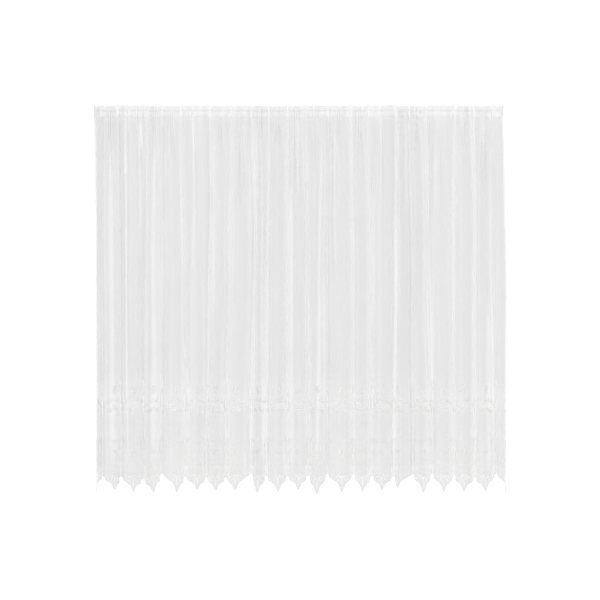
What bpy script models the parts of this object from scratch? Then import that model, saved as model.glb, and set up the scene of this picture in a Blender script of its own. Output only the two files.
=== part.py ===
"""Lace curtain, hanging.

One length of knitted lace, gathered to about half its width by a woven heading tape sewn to its
back. Its folds are narrow ridges that run down to the notches of the scalloped hem, and between them
the cloth faces the front. Small pleats at the heading fade away. The curtain hangs in the plane
Y = 0, its front faces -Y, and the origin is at the middle of its top edge. All sizes are in metres.
"""

from typing import NamedTuple

import bpy
import numpy as np

# The cloth as it is cut
FLAT_WIDTH = 3.000
SCALLOP_WIDTH = 0.150
CLOTH_THICKNESS = 0.0012

# The heading, as heights below the top edge
HEADING_DEPTH = 0.046
TAPE_TOP = 0.019
TAPE_BOTTOM = 0.043
TAPE_THICKNESS = 0.0010
TAPE_GAP = 0.0003

# Levels that folds are told at, as heights below the top edge, and rows where small pleats fade away
MIDDLE_LEVEL = 0.486
LOWER_LEVEL = 1.220
FADING_ROWS = (0.110, 0.190, 0.300)

# Plan of one fold: cloth in the bends at its crest and in its valley, at most as a share of the cloth
# between two crests, and the angle its walls stand at
CREST_BEND = 0.006
VALLEY_BEND = 0.014
LONGEST_BEND = 0.125
STEEPNESS = 1.48

# Plan of one small pleat: cloth in each bend and in each wall
SMALL_BEND = 0.004
SMALL_WALL = 0.008

# One scallop's outline, as shares of its depth and of its half width
POINT_SHARE = 0.43
POINT_HALF_WIDTH = 0.12

# How finely the plan of the folds is worked out, and how finely it is built
STEPS_PER_SCALLOP = 72
STEPS_PER_COLUMN = 4
HALVINGS = 40
LEAST_STRENGTH = 0.5
MOST_STRENGTH = 1.5
CENTRING_WIDTH = 0.100
CENTRING_REACH = 0.300

# How walls grow on one side until the hem's tips hang in their places
SETTLING_ROUNDS = 30
SETTLING_PACE = 0.3
LEAST_LEFT_SHARE = 0.05


class Fold(NamedTuple):
    """A fold: where its crest hangs at the heading, at the middle level and at the lower level."""

    top: float
    middle: float
    lower: float


class SmallPleat(NamedTuple):
    """A pleat that fades away: where it hangs at the heading, and how far below the top edge it is gone."""

    place: float
    gone: float


class Scallop(NamedTuple):
    """Where a scallop's tip and the notch to its right hang, and how far each is below the top edge."""

    tip: float
    tip_low: float
    notch: float
    notch_high: float


FOLDS = (
    Fold(-0.745, -0.742, -0.737),
    Fold(-0.680, -0.675, -0.668),
    Fold(-0.580, -0.580, -0.587),
    Fold(-0.515, -0.512, -0.516),
    Fold(-0.442, -0.435, -0.427),
    Fold(-0.334, -0.332, -0.348),
    Fold(-0.256, -0.260, -0.276),
    Fold(-0.179, -0.167, -0.181),
    Fold(-0.114, -0.116, -0.123),
    Fold(-0.045, -0.045, -0.044),
    Fold(0.016, 0.030, 0.033),
    Fold(0.108, 0.104, 0.106),
    Fold(0.193, 0.199, 0.203),
    Fold(0.260, 0.269, 0.273),
    Fold(0.360, 0.362, 0.353),
    Fold(0.412, 0.421, 0.426),
    Fold(0.476, 0.486, 0.499),
    Fold(0.583, 0.579, 0.581),
    Fold(0.654, 0.659, 0.659),
    Fold(0.725, 0.726, 0.738),
)

SMALL_PLEATS = (
    SmallPleat(-0.714, 0.44),
    SmallPleat(-0.650, 0.20),
    SmallPleat(-0.611, 0.36),
    SmallPleat(-0.545, 0.40),
    SmallPleat(-0.480, 0.30),
    SmallPleat(-0.399, 0.44),
    SmallPleat(-0.298, 0.22),
    SmallPleat(-0.219, 0.42),
    SmallPleat(-0.146, 0.20),
    SmallPleat(-0.082, 0.18),
    SmallPleat(-0.014, 0.46),
    SmallPleat(0.052, 0.33),
    SmallPleat(0.148, 0.24),
    SmallPleat(0.226, 0.26),
    SmallPleat(0.306, 0.48),
    SmallPleat(0.443, 0.20),
    SmallPleat(0.522, 0.46),
    SmallPleat(0.618, 0.20),
    SmallPleat(0.690, 0.40),
)

SCALLOPS = (
    Scallop(-0.762, 1.449, -0.737, 1.392),
    Scallop(-0.695, 1.446, -0.668, 1.392),
    Scallop(-0.624, 1.453, -0.589, 1.402),
    Scallop(-0.549, 1.457, -0.517, 1.381),
    Scallop(-0.460, 1.453, -0.425, 1.392),
    Scallop(-0.384, 1.446, -0.354, 1.394),
    Scallop(-0.315, 1.448, -0.281, 1.394),
    Scallop(-0.241, 1.448, -0.181, 1.381),
    Scallop(-0.158, 1.459, -0.120, 1.390),
    Scallop(-0.080, 1.453, -0.043, 1.389),
    Scallop(-0.004, 1.446, 0.033, 1.387),
    Scallop(0.067, 1.464, 0.106, 1.383),
    Scallop(0.160, 1.453, 0.201, 1.383),
    Scallop(0.239, 1.453, 0.272, 1.390),
    Scallop(0.311, 1.446, 0.350, 1.391),
    Scallop(0.371, 1.437, 0.425, 1.383),
    Scallop(0.468, 1.457, 0.503, 1.380),
    Scallop(0.544, 1.455, 0.584, 1.387),
    Scallop(0.620, 1.453, 0.659, 1.395),
    Scallop(0.701, 1.450, 0.746, 1.381),
)

# Where the side edges hang at the heading
SIDE_EDGES_AT_HEADING = (-0.770, 0.765)

# The half scallop at the right side edge ends in a tip of its own
LAST_TIP = 0.776
LAST_TIP_LOW = 1.455

CLOTH_COLOUR = (0.80, 0.80, 0.79, 1.0)
TAPE_COLOUR = (0.86, 0.86, 0.85, 1.0)

# Cloth distances from the left side edge: of every point of the plan, and of the tips and notches in turn
CLOTH = np.linspace(0.0, FLAT_WIDTH, len(SCALLOPS) * STEPS_PER_SCALLOP + 1)
HEM_CLOTH = np.arange(2 * len(SCALLOPS) + 1) * SCALLOP_WIDTH / 2
HEM_PLACES = np.append([place for scallop in SCALLOPS for place in (scallop.tip, scallop.notch)], LAST_TIP)


def clear_scene():
    for obj in list(bpy.data.objects):
        bpy.data.objects.remove(obj, do_unlink=True)


def cloth_material(name, colour, roughness):
    material = bpy.data.materials.new(name)
    material.use_nodes = True
    shader = material.node_tree.nodes["Principled BSDF"]
    shader.inputs["Base Color"].default_value = colour
    shader.inputs["Roughness"].default_value = roughness
    shader.inputs["Metallic"].default_value = 0.0
    return material


def directions(cloth, widths, left_shares):
    """The cloth's direction in plan along its width, for crests at these cloth distances, hanging this far
    apart. From a crest it bends back, runs steeply along a wall, bends more gently into a flat part that
    faces the front, and comes forward to the next crest in the same way. The two walls are together as
    long as the hung width needs, and left_shares is how much of that the left one has."""
    taken = np.diff(cloth)
    bend = np.minimum(CREST_BEND, taken * LONGEST_BEND)
    gentle = np.minimum(VALLEY_BEND, taken * LONGEST_BEND)
    bends_save = 2 * (bend + gentle) * (1 - np.sin(STEEPNESS) / STEEPNESS)
    walls = (taken - widths - bends_save) / (1 - np.cos(STEEPNESS))
    walls = np.clip(walls, 0.0, taken - 2 * (bend + gentle))
    left, right = left_shares * walls, (1 - left_shares) * walls
    ahead = cloth[:-1, None] + np.cumsum([0 * bend, bend, left, gentle], axis=0).T
    behind = cloth[1:, None] - np.cumsum([0 * bend, bend, right, gentle], axis=0).T[:, ::-1]
    nodes = np.concatenate([ahead, behind], axis=1).ravel()
    angles = STEEPNESS * np.tile([0, 1, 1, 0, 0, -1, -1, 0], len(taken))
    return np.interp(CLOTH, nodes, angles)


def small_pleat_directions(cloth, sizes):
    """The same for small pleats, which come forward and go back over short walls. Their angles shrink
    with their sizes, from 1 to 0."""
    reach = np.cumsum([SMALL_BEND, SMALL_WALL, SMALL_BEND])
    nodes = np.concatenate([-reach[::-1], [0.0], reach])
    angles = STEEPNESS * np.array([0, -1, -1, 0, 1, 1, 0])
    away = CLOTH[None, :] - cloth[:, None]
    return (sizes[:, None] * np.interp(away, nodes, angles)).sum(axis=0)


def along(slope):
    """The running total of a slope along the cloth, from the left side edge."""
    steps = (slope[1:] + slope[:-1]) / 2 * np.diff(CLOTH)
    return np.concatenate([[0.0], np.cumsum(steps)])


def eased(run):
    """A share of the way, slow at both ends and never past them."""
    run = np.clip(run, 0.0, 1.0)
    return run * run * (3 - 2 * run)


def centred(depth):
    """The depths moved so that the cloth swings evenly about the hanging plane. What is taken off is
    their bell-weighted average, over much more cloth than one fold takes."""
    steps = round(CENTRING_REACH / CLOTH[1])
    bell = np.exp(-0.5 * (np.arange(-steps, steps + 1) * CLOTH[1] / CENTRING_WIDTH) ** 2)
    padded = np.pad(depth, steps, mode="reflect")
    return depth - np.convolve(padded, bell / bell.sum(), mode="valid")


class FoldPlan:
    """The plan of the cloth at any height: the folds, and the small pleats while they last."""

    def __init__(self):
        self.places = np.array([
            [SIDE_EDGES_AT_HEADING[0], *(fold.top for fold in FOLDS), SIDE_EDGES_AT_HEADING[1]],
            [HEM_PLACES[0], *(fold.middle for fold in FOLDS), HEM_PLACES[-1]],
            [HEM_PLACES[0], *(fold.lower for fold in FOLDS), HEM_PLACES[-1]],
        ])
        self.gone = np.array([pleat.gone for pleat in SMALL_PLEATS])
        self.small_cloth = np.zeros(len(SMALL_PLEATS))
        self.fold_cloth = np.array([0.0, *HEM_CLOTH[1::2], FLAT_WIDTH])
        self.left_shares = np.full(len(self.fold_cloth) - 1, 0.5)
        self.settle_walls()
        self.settle_small_pleats()

    def settle_walls(self):
        """Walls grow on one side of each flat part until the tip there hangs in its place."""
        slack = np.diff(self.fold_cloth) - np.diff(self.places[2])
        for _ in range(SETTLING_ROUNDS):
            hung, _ = self.at(LOWER_LEVEL)
            too_far = np.interp(HEM_CLOTH, CLOTH, hung) - HEM_PLACES
            self.left_shares[1:-1] += SETTLING_PACE * too_far[2:-1:2] / slack[1:-1]
            self.left_shares = np.clip(self.left_shares, LEAST_LEFT_SHARE, 1 - LEAST_LEFT_SHARE)

    def settle_small_pleats(self):
        """Small pleats slide along the cloth until they hang where they should at the heading."""
        places = np.array([pleat.place for pleat in SMALL_PLEATS])
        self.small_cloth = np.interp(places, self.places[0], self.fold_cloth)
        for _ in range(SETTLING_ROUNDS):
            hung, _ = self.at(HEADING_DEPTH)
            self.small_cloth += SETTLING_PACE * (places - np.interp(self.small_cloth, CLOTH, hung))

    def strengths(self, turns, widths):
        """How much harder the cloth turns between each two folds, so that all of it is taken up."""
        between = np.clip(np.searchsorted(self.fold_cloth, CLOTH, side="right") - 1, 0, len(widths) - 1)
        low, high = np.full(len(widths), LEAST_STRENGTH), np.full(len(widths), MOST_STRENGTH)
        for _ in range(HALVINGS):
            middle = (low + high) / 2
            places = along(np.cos(middle[between] * turns))
            too_wide = np.diff(np.interp(self.fold_cloth, CLOTH, places)) > widths
            low, high = np.where(too_wide, middle, low), np.where(too_wide, high, middle)
        return low[between]

    def at(self, height_below_top):
        """(places along X, depths along Y) of the cloth at this height."""
        sizes = 1 - eased((height_below_top - HEADING_DEPTH) / (self.gone - HEADING_DEPTH))
        small = small_pleat_directions(self.small_cloth, sizes)
        saved = np.diff(np.interp(self.fold_cloth, CLOTH, along(1 - np.cos(small))))
        levels = (HEADING_DEPTH, MIDDLE_LEVEL, LOWER_LEVEL)
        folds = np.array([np.interp(height_below_top, levels, column) for column in self.places.T])
        turns = directions(self.fold_cloth, np.diff(folds) + saved, self.left_shares) + small
        turns = turns * self.strengths(turns, np.diff(folds))
        return folds[0] + along(np.cos(turns)), centred(along(np.sin(turns)))


def hem_heights(cloth):
    """How far below the top edge the scalloped hem is, at these cloth distances. Each scallop has broad
    shoulders, half a cosine wave from notch to tip, with a narrow bell-shaped point at the tip."""
    scallop = np.minimum(cloth // SCALLOP_WIDTH, len(SCALLOPS) - 1).astype(int)
    nearest = np.round(cloth / SCALLOP_WIDTH).astype(int)
    lows = np.append([row.tip_low for row in SCALLOPS], LAST_TIP_LOW)
    notch = np.array([row.notch_high for row in SCALLOPS])[scallop]
    away = np.abs(cloth / SCALLOP_WIDTH - nearest) * 2
    shoulder = (1 + np.cos(np.pi * away)) / 2
    point = np.exp(-((away / POINT_HALF_WIDTH) ** 2))
    reach = (1 - POINT_SHARE) * shoulder + POINT_SHARE * point
    return notch + (lows[nearest] - notch) * reach


def beside(places, depths, distance):
    """The plan line moved this far towards the cloth's back, with its corners mitred."""
    steps = np.stack([np.diff(places), np.diff(depths)], axis=1)
    steps /= np.linalg.norm(steps, axis=1, keepdims=True)
    sides = np.stack([-steps[:, 1], steps[:, 0]], axis=1)
    before = np.concatenate([sides[:1], sides])
    after = np.concatenate([sides, sides[-1:]])
    mitre = (before + after) / (1 + (before * after).sum(axis=1, keepdims=True))
    return places + distance * mitre[:, 0], depths + distance * mitre[:, 1]


def sheet(name, rows, thickness, material, hanger):
    """A sheet of cloth through rows of points, from its top row down, with its thickness."""
    points = np.array(rows)
    height, width = points.shape[:2]
    index = np.arange(height * width).reshape(height, width)
    corners = (index[1:, :-1], index[1:, 1:], index[:-1, 1:], index[:-1, :-1])
    faces = np.stack(corners, axis=-1).reshape(-1, 4)
    mesh = bpy.data.meshes.new(name)
    mesh.from_pydata(points.reshape(-1, 3).tolist(), [], faces.tolist())
    mesh.materials.append(material)
    mesh.shade_smooth()
    obj = bpy.data.objects.new(name, mesh)
    obj.parent = hanger
    bpy.context.scene.collection.objects.link(obj)
    solidify = obj.modifiers.new("Thickness", "SOLIDIFY")
    solidify.thickness = thickness
    solidify.offset = 0.0
    solidify.use_even_offset = True
    solidify.use_quality_normals = True
    return obj


def row(places, depths, heights):
    """One row of points: a plan line at a height, or at a height for each point."""
    return np.stack([places, depths, np.broadcast_to(-np.asarray(heights), places.shape)], axis=1)


def lace_cloth(plan, hanger):
    """The whole cloth: a row at each named height, and its last row along the scallops."""
    columns = slice(None, None, STEPS_PER_COLUMN)
    rows = []
    for height in (0.0, HEADING_DEPTH, *FADING_ROWS, MIDDLE_LEVEL, LOWER_LEVEL):
        places, depths = plan.at(height)
        rows.append(row(places[columns], depths[columns], height))
    rows.append(row(places[columns], depths[columns], hem_heights(CLOTH[columns])))
    lace = cloth_material("lace", CLOTH_COLOUR, roughness=0.9)
    return sheet("lace_cloth", rows, CLOTH_THICKNESS, lace, hanger)


def heading_tape(plan, hanger):
    """The tape, which follows the pleats across the cloth's back and ends just inside its side hems."""
    places, depths = plan.at(HEADING_DEPTH)
    behind = CLOTH_THICKNESS / 2 + TAPE_GAP + TAPE_THICKNESS / 2
    places, depths = beside(places[::STEPS_PER_COLUMN], depths[::STEPS_PER_COLUMN], behind)
    rows = [row(places[1:-1], depths[1:-1], height) for height in (TAPE_TOP, TAPE_BOTTOM)]
    woven = cloth_material("woven_tape", TAPE_COLOUR, roughness=0.85)
    return sheet("heading_tape", rows, TAPE_THICKNESS, woven, hanger)


def main():
    clear_scene()
    hanger = bpy.data.objects.new("top_edge_middle", None)
    bpy.context.scene.collection.objects.link(hanger)
    plan = FoldPlan()
    lace_cloth(plan, hanger)
    heading_tape(plan, hanger)


main()
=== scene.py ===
# Lace curtain, hanging by its top edge: one gathered length of net lace with a turned header,
# a heading tape sewn to its back, a flower border and a pointed, corded hem.
from collections import namedtuple

import bpy
import numpy as np
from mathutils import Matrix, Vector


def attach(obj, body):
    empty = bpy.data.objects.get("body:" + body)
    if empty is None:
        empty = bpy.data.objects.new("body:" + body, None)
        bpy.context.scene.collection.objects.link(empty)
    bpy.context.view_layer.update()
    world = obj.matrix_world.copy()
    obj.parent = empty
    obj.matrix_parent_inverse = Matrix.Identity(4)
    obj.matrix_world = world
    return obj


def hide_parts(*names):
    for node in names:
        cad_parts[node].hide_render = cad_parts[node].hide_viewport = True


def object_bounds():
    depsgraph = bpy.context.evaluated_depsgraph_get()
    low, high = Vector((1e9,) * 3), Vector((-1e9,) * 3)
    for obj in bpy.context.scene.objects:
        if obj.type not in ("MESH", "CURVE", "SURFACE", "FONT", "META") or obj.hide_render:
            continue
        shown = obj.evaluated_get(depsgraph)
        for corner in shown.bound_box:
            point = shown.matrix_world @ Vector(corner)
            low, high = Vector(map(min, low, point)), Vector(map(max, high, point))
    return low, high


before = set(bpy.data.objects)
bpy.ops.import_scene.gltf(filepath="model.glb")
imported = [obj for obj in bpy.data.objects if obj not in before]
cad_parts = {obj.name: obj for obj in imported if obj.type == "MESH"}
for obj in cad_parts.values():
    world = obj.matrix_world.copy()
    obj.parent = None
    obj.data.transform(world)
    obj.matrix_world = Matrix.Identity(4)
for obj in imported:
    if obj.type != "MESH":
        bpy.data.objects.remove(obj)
cadLow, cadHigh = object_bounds()
print("Frame loaded:", ", ".join(sorted(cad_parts)))


# Camera, light and floor. The camera stands straight in front, far off, level with the middle of the curtain.
studio = {
    "frameWidth": 2.254,          # metres that the picture is wide, where the curtain hangs
    "lookAt": (0.0028, 0.0, -0.730),
    "distance": 8.0,
    "sensor": 36.0,
    "clipEnd": 100.0,
    "skyStrength": 1.12,          # the even white light from all round
    "keyStrength": 16.0,          # watts of the large soft light, in front and a little above
    "keySize": 3.2,
    "keyPlace": (0.0, -4.6, 0.6),
    "floorDrop": 0.75,            # from the hem to the floor
    "floorRadius": 2.2,
    "floorSides": 96,
    "floorColour": (0.93, 0.93, 0.92, 1.0),
    "floorRoughness": 0.8,
}


def buildCamera():
    data = bpy.data.cameras.new("camera")
    data.sensor_width = studio["sensor"]
    data.lens = studio["sensor"] * studio["distance"] / studio["frameWidth"]
    data.clip_end = studio["clipEnd"]
    camera = bpy.data.objects.new("camera", data)
    across, depth, height = studio["lookAt"]
    camera.location = (across, depth - studio["distance"], height)
    camera.rotation_euler = (np.pi / 2, 0.0, 0.0)
    bpy.context.scene.collection.objects.link(camera)
    bpy.context.scene.camera = camera


def buildLight():
    scene = bpy.context.scene
    scene.view_settings.view_transform = "Standard"
    world = bpy.data.worlds.new("evenWhite")
    world.use_nodes = True
    sky = world.node_tree.nodes["Background"]
    sky.inputs["Color"].default_value = (1.0, 1.0, 1.0, 1.0)
    sky.inputs["Strength"].default_value = studio["skyStrength"]
    scene.world = world
    data = bpy.data.lights.new("softKey", "AREA")
    data.energy = studio["keyStrength"]
    data.size = studio["keySize"]
    key = bpy.data.objects.new("softKey", data)
    key.location = studio["keyPlace"]
    aim = key.location - cadLow.lerp(cadHigh, 0.5)
    key.rotation_euler = aim.to_track_quat("Z", "Y").to_euler()
    scene.collection.objects.link(key)


def buildFloor():
    # A round floor: its rim is the radius times cosine and sine
    turn = 2 * np.pi * np.arange(studio["floorSides"]) / studio["floorSides"]
    rim = np.stack([np.cos(turn), np.sin(turn), np.zeros_like(turn)], axis=1) * studio["floorRadius"]
    rim[:, 2] = cadLow.z - studio["floorDrop"]
    mesh = bpy.data.meshes.new("floor")
    mesh.from_pydata(rim.tolist(), [], [list(range(len(rim)))])
    paint = bpy.data.materials.new("paleFloor")
    paint.use_nodes = True
    shader = paint.node_tree.nodes["Principled BSDF"]
    shader.inputs["Base Color"].default_value = studio["floorColour"]
    shader.inputs["Roughness"].default_value = studio["floorRoughness"]
    mesh.materials.append(paint)
    floor = bpy.data.objects.new("floor", mesh)
    bpy.context.scene.collection.objects.link(floor)


buildCamera()
buildLight()
buildFloor()
print("Studio ready")


def table(columns, *rows):
    # A short table, where each row's numbers are read by their column's name
    row = namedtuple("row", columns)
    return [row(*values) for values in rows]


# The hang: where each fold and each scallop hangs. Places are metres from the middle of the top edge, drops
# are metres below it, and cloth distances run along the cloth from its left side edge.
hang = {
    "flatWidth": 3.000,
    "repeatWidth": 0.150,         # one scallop and one repeat of the lace
    "stepsPerRepeat": 72,
    "headingDrop": 0.046,
    "middleDrop": 0.486,
    "lowerDrop": 1.220,
    "scallopsBegin": 1.360,
    "edgesAtHeading": (-0.770, 0.765),
    "crestBend": 0.006,           # cloth taken by a bend from a crest into a wall, or from there into a flat
    "valleyBend": 0.014,
    "steepness": 1.48,            # the angle that walls stand at
    "longestBend": 0.125,         # as a share of the cloth between two crests
    "smallBend": 0.004,
    "smallWall": 0.008,
    "leastLeftShare": 0.05,
    "settleRounds": 30,
    "settleStep": 0.3,
    "strengthRange": (0.5, 1.5),
    "halvings": 40,
    "averageReach": 0.300,        # of cloth on each side, that a depth is compared with, and its bell's width
    "averageBell": 0.100,
    "pointShare": 0.43,
    "pointHalfWidth": 0.12,
    "knitNotch": 1.389,           # the hem's notch and tip as knitted, before they hang unevenly
    "knitTip": 1.451,
    "folds": table(               # where each crest hangs at three drops, and how strong the painted highlight on its walls is
        "top middle lower light",
        (-0.745, -0.742, -0.737, 0.72), (-0.680, -0.675, -0.668, 0.67), (-0.580, -0.580, -0.587, 0.73),
        (-0.515, -0.512, -0.516, 0.80), (-0.442, -0.435, -0.427, 0.94), (-0.334, -0.332, -0.348, 0.80),
        (-0.256, -0.260, -0.276, 0.87), (-0.179, -0.167, -0.181, 0.80), (-0.114, -0.116, -0.123, 0.84),
        (-0.045, -0.045, -0.044, 0.88), (0.016, 0.030, 0.033, 0.88), (0.108, 0.104, 0.106, 0.67),
        (0.193, 0.199, 0.203, 0.90), (0.260, 0.269, 0.273, 0.92), (0.360, 0.362, 0.353, 0.80),
        (0.412, 0.421, 0.426, 0.80), (0.476, 0.486, 0.499, 0.84), (0.583, 0.579, 0.581, 0.96),
        (0.654, 0.659, 0.659, 0.92), (0.725, 0.726, 0.738, 0.81),
    ),
    "smallPleats": table(         # pleats that fade away, and the drop where they are gone
        "place gone",
        (-0.714, 0.44), (-0.650, 0.20), (-0.611, 0.36), (-0.545, 0.40), (-0.480, 0.30), (-0.399, 0.44),
        (-0.298, 0.22), (-0.219, 0.42), (-0.146, 0.20), (-0.082, 0.18), (-0.014, 0.46), (0.052, 0.33),
        (0.148, 0.24), (0.226, 0.26), (0.306, 0.48), (0.443, 0.20), (0.522, 0.46), (0.618, 0.20),
        (0.690, 0.40),
    ),
    "scallops": table(
        "tip tipDrop notch notchDrop",
        (-0.762, 1.449, -0.737, 1.392), (-0.695, 1.446, -0.668, 1.392), (-0.624, 1.453, -0.589, 1.402),
        (-0.549, 1.457, -0.517, 1.381), (-0.460, 1.453, -0.425, 1.392), (-0.384, 1.446, -0.354, 1.394),
        (-0.315, 1.448, -0.281, 1.394), (-0.241, 1.448, -0.181, 1.381), (-0.158, 1.459, -0.120, 1.390),
        (-0.080, 1.453, -0.043, 1.389), (-0.004, 1.446, 0.033, 1.387), (0.067, 1.464, 0.106, 1.383),
        (0.160, 1.453, 0.201, 1.383), (0.239, 1.453, 0.272, 1.390), (0.311, 1.446, 0.350, 1.391),
        (0.371, 1.437, 0.425, 1.383), (0.468, 1.457, 0.503, 1.380), (0.544, 1.455, 0.584, 1.387),
        (0.620, 1.453, 0.659, 1.395), (0.701, 1.450, 0.746, 1.381),
    ),
    "lastTip": (0.776, 1.455),    # the half scallop at the right side edge
    "creases": table(             # soft ridges, or troughs where height is below nothing, that drift sideways
        "place fromDrop toDrop drift width height",
        (-0.710, 0.05, 1.44, 0.010, 0.0180, 0.0105), (-0.654, 0.02, 1.44, 0.009, 0.0085, 0.0120),
        (-0.652, 0.03, 0.28, 0.000, 0.0080, 0.0055), (-0.609, 0.40, 1.40, -0.004, 0.0080, 0.0040),
        (-0.595, 0.02, 0.50, -0.004, 0.0080, 0.0095), (-0.548, 0.04, 1.44, -0.002, 0.0170, 0.0108),
        (-0.493, 0.05, 0.70, -0.002, 0.0080, 0.0032), (-0.402, 0.36, 1.40, -0.008, 0.0095, 0.0050),
        (-0.394, 0.03, 0.60, -0.002, 0.0085, 0.0032), (-0.366, 0.40, 1.40, -0.006, 0.0080, -0.0038),
        (-0.318, 0.02, 0.90, -0.003, 0.0075, 0.0045), (-0.300, 0.24, 1.30, 0.006, 0.0080, 0.0035),
        (-0.214, 0.04, 0.40, 0.004, 0.0080, 0.0045), (-0.186, 0.02, 1.44, -0.002, 0.0085, 0.0050),
        (-0.160, 0.03, 0.36, -0.003, 0.0080, 0.0032), (-0.139, 0.05, 1.44, 0.000, 0.0095, 0.0095),
        (-0.073, 0.10, 1.30, 0.004, 0.0090, -0.0035), (-0.030, 0.26, 1.44, 0.006, 0.0095, 0.0065),
        (-0.006, 0.02, 0.36, 0.004, 0.0075, 0.0060), (0.085, 0.03, 1.44, -0.018, 0.0120, 0.0120),
        (0.093, 0.60, 1.44, -0.006, 0.0085, 0.0045), (0.131, 0.02, 0.66, 0.005, 0.0080, 0.0095),
        (0.166, 0.16, 1.40, -0.011, 0.0085, -0.0035), (0.230, 0.28, 1.24, 0.006, 0.0085, -0.0025),
        (0.284, 0.26, 0.84, 0.000, 0.0075, 0.0045), (0.305, 0.02, 0.52, -0.004, 0.0080, 0.0015),
        (0.322, 0.34, 0.90, 0.010, 0.0085, -0.0035), (0.367, 0.45, 1.44, -0.006, 0.0085, 0.0045),
        (0.376, 0.03, 0.32, -0.004, 0.0080, 0.0018), (0.399, 0.04, 0.40, 0.004, 0.0075, 0.0045),
        (0.448, 0.12, 0.86, 0.006, 0.0080, -0.0035), (0.509, 0.02, 1.20, -0.007, 0.0095, 0.0054),
        (0.542, 0.30, 1.30, -0.008, 0.0090, -0.0025), (0.688, 0.02, 0.40, 0.002, 0.0075, 0.0040),
        (0.711, 0.70, 1.44, 0.005, 0.0100, 0.0105),
    ),
    "creaseEnd": 1 / 6,           # share of a crease that it takes to rise, and to fade
    "creaseHighlight": 42.0,          # painted highlight on a raised crease, where the net also looks drawn denser, for each metre of height
    "highlightReach": 0.017,         # how far beside a steep wall the painted highlight and the denser look of the net still reach
    "sway": table(                # waves sideways, and then towards the room or the window
        "size along down phase",
        (0.0016, 0.41, 0.83, 0.0), (0.00096, 0.173, -0.57, 1.0),
    ),
    "lean": table("size along down phase", (0.0030, 0.93, 1.30, 0.0)),
    "freeFrom": 0.05,
    "freeLength": 1.31,
    "hemCurl": table("size along down phase", (0.0040, 0.37, np.inf, 0.7)),
    "curlFrom": 1.30,
    "curlLength": 0.16,
    "tableDrop": 1.50,            # the lowest drop of the tables, how many rows they have, and what keeps a
    "tableRows": 151,             # place just inside their last cell
    "lastCell": 1.001,
    "puckerSize": 0.0005,
    "puckerPitch": 0.0125,
    "puckerFrom": 0.018,
    "puckerTo": 0.046,
    "puckerEase": 0.006,
}

flatWidth, repeatWidth = hang["flatWidth"], hang["repeatWidth"]
repeatCount = len(hang["scallops"])
clothSteps = np.linspace(0.0, flatWidth, repeatCount * hang["stepsPerRepeat"] + 1)
hemCloth = np.arange(2 * repeatCount + 1) * repeatWidth / 2
hemPlaces = [place for row in hang["scallops"] for place in (row.tip, row.notch)]
hemPlaces = np.append(hemPlaces, hang["lastTip"][0])


def smooth(run):
    # 3 t squared less 2 t cubed, with t held between 0 and 1
    run = np.clip(run, 0.0, 1.0)
    return run * run * (3 - 2 * run)


def along(slope):
    # Running total of a slope along the cloth
    return np.concatenate([[0.0], np.cumsum((slope[1:] + slope[:-1]) / 2 * np.diff(clothSteps))])


def directions(cloth, widths, leftShares):
    # The cloth's direction in plan. From each crest it bends back, runs steeply along a wall, bends gently
    # into a flat part and comes forward in the same way. Walls are as long as the hung width needs: the cloth
    # saved, less what the bends save, over 1 less the cosine of their steepness.
    steep, taken = hang["steepness"], np.diff(cloth)
    longest = taken * hang["longestBend"]
    bend, gentle = np.minimum(hang["crestBend"], longest), np.minimum(hang["valleyBend"], longest)
    bendsSave = 2 * (bend + gentle) * (1 - np.sin(steep) / steep)
    walls = np.clip((taken - widths - bendsSave) / (1 - np.cos(steep)), 0.0, taken - 2 * (bend + gentle))
    left, right = (
        np.cumsum([0 * bend, bend, share * walls, gentle], axis=0).T for share in (leftShares, 1 - leftShares)
    )
    nodes = np.concatenate([cloth[:-1, None] + left, cloth[1:, None] - right[:, ::-1]], axis=1).ravel()
    return np.interp(clothSteps, nodes, steep * np.tile([0, 1, 1, 0, 0, -1, -1, 0], len(taken)))


def smallDirections(cloth, sizes):
    # The same for small pleats: forward and back over short walls, at angles that shrink with their sizes
    reach = np.cumsum([hang["smallBend"], hang["smallWall"], hang["smallBend"]])
    nodes = np.concatenate([-reach[::-1], [0.0], reach])
    angles = hang["steepness"] * np.array([0, -1, -1, 0, 1, 1, 0])
    return (sizes[:, None] * np.interp(clothSteps - cloth[:, None], nodes, angles)).sum(axis=0)


def centred(depth):
    # Depth less its own bell-weighted average over much more cloth than one fold takes
    steps = round(hang["averageReach"] / clothSteps[1])
    bell = np.exp(-0.5 * (np.arange(-steps, steps + 1) * clothSteps[1] / hang["averageBell"]) ** 2)
    return depth - np.convolve(np.pad(depth, steps, mode="reflect"), bell / bell.sum(), mode="valid")


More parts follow.
